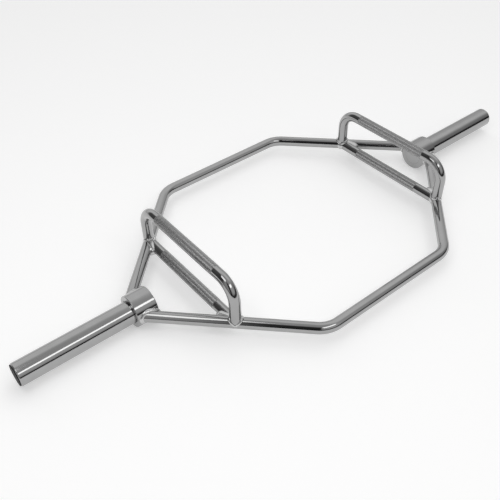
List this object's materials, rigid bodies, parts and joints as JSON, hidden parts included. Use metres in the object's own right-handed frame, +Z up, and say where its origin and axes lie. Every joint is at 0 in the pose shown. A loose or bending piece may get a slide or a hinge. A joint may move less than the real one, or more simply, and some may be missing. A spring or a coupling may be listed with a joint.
{
  "type": "hex trap bar",
  "caption": "Welded hexagonal lifting bar with a plate sleeve and stop collar at each end, and low and raised knurled handles for a lifter standing inside the frame.",
  "frame": {"origin": "on the floor under the middle of the bar, level with the lowest line of the collars", "axes": "+X along the sleeves, +Y from the front side of the hexagon to the rear, +Z up"},
  "size_m": [1.4236, 0.6144, 0.1485],
  "materials": {
    "bright_chrome": "bright chrome plate on steel",
    "knurled_chrome": "chrome plate, knurled between smooth ends",
    "plated_weld": "chrome plate over a rippled weld bead",
    "bare_weld": "bare weld steel, out of sight",
    "black_plug": "moulded black polyethylene"
  },
  "bodies": {
    "root": {"front_frame_bar": "bright_chrome", "rear_frame_bar": "bright_chrome", "left_collar": "bright_chrome", "left_collar_disc": "bright_chrome", "left_sleeve": "bright_chrome", "left_low_handle": "knurled_chrome", "left_raised_handle": "knurled_chrome", "left_sleeve_weld": "bare_weld", "left_end_plug": "black_plug", "left_front_arm_weld": "plated_weld", "left_front_handle_weld": "plated_weld", "left_rear_arm_weld": "plated_weld", "left_rear_handle_weld": "plated_weld", "right_collar": "bright_chrome", "right_collar_disc": "bright_chrome", "right_sleeve": "bright_chrome", "right_low_handle": "knurled_chrome", "right_raised_handle": "knurled_chrome", "right_sleeve_weld": "bare_weld", "right_end_plug": "black_plug", "right_front_arm_weld": "plated_weld", "right_front_handle_weld": "plated_weld", "right_rear_arm_weld": "plated_weld", "right_rear_handle_weld": "plated_weld"}
  },
  "joints": []
}
